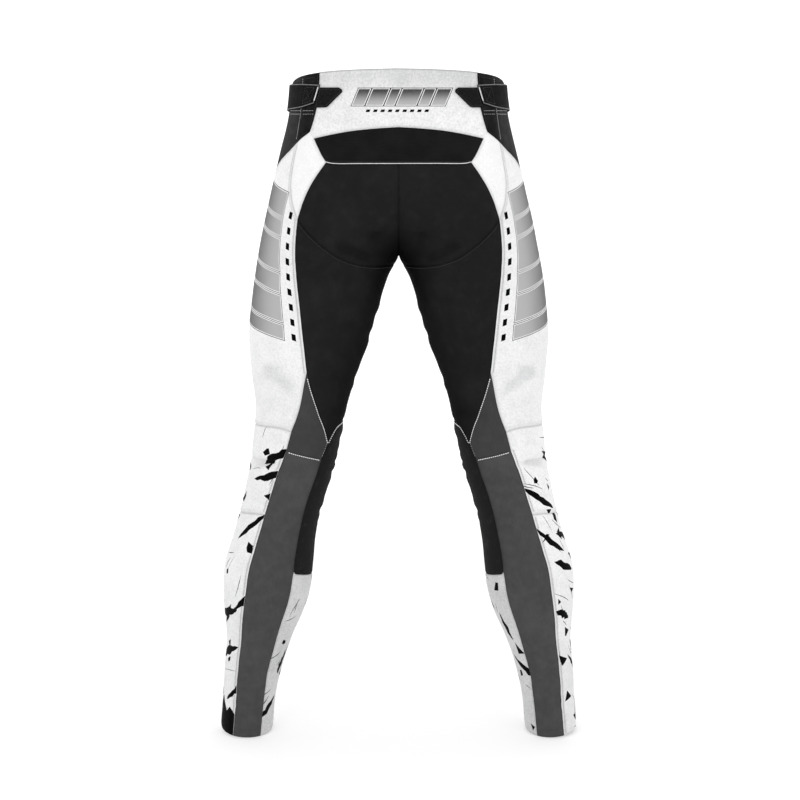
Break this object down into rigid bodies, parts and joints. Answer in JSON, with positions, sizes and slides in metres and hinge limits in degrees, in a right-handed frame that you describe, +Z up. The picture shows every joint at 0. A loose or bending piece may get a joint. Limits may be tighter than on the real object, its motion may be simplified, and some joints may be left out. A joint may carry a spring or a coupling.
{
  "type": "motorcycle trousers",
  "caption": "Close-fitting panelled riding trousers in a worn shape, with a stretch seat, calf and lumbar panel, waist straps and open waist and hems.",
  "frame": {"origin": "middle of the waist opening, at the height of the middle of the adjuster straps", "axes": "+Z up the standing wearer, -Y the back, +Y the front, +X the wearer's right"},
  "size_m": [0.5494, 0.2367, 1.0086],
  "materials": {
    "white_panel": "dense woven polyester, matt, printed",
    "black_stretch": "matt stretch twill",
    "black_side": "matt woven nylon",
    "grey_stretch": "matt ribbed stretch",
    "black_grip": "soft matt grip leather",
    "black_webbing": "bound strap with pale edges",
    "hook_tape": "hook and loop tape",
    "snap_metal": "satin metal"
  },
  "bodies": {
    "root": {"back_yoke": "white_panel", "calf_left": "grey_stretch", "calf_right": "grey_stretch", "fly_flap": "white_panel", "front_thigh_left": "white_panel", "front_thigh_right": "white_panel", "hip_back_left": "white_panel", "hip_back_right": "white_panel", "inner_shin_left": "white_panel", "inner_shin_right": "white_panel", "knee_back_left": "grey_stretch", "knee_back_right": "grey_stretch", "knee_grip_left": "black_grip", "knee_grip_right": "black_grip", "outer_knee_left": "white_panel", "outer_knee_right": "white_panel", "outer_shin_left": "white_panel", "outer_shin_right": "white_panel", "seat_left": "black_stretch", "seat_right": "black_stretch", "side_thigh_left": "white_panel", "side_thigh_right": "white_panel", "strap_hook_left": "hook_tape", "strap_hook_right": "hook_tape", "strap_left": "black_webbing", "strap_right": "black_webbing", "stretch_panel": "black_stretch", "thigh_back_left": "black_stretch", "thigh_back_right": "black_stretch", "waist_back_left": "black_side", "waist_back_right": "black_side", "waist_side_left": "black_side", "waist_side_right": "black_side", "waist_snap": "snap_metal"}
  },
  "joints": []
}
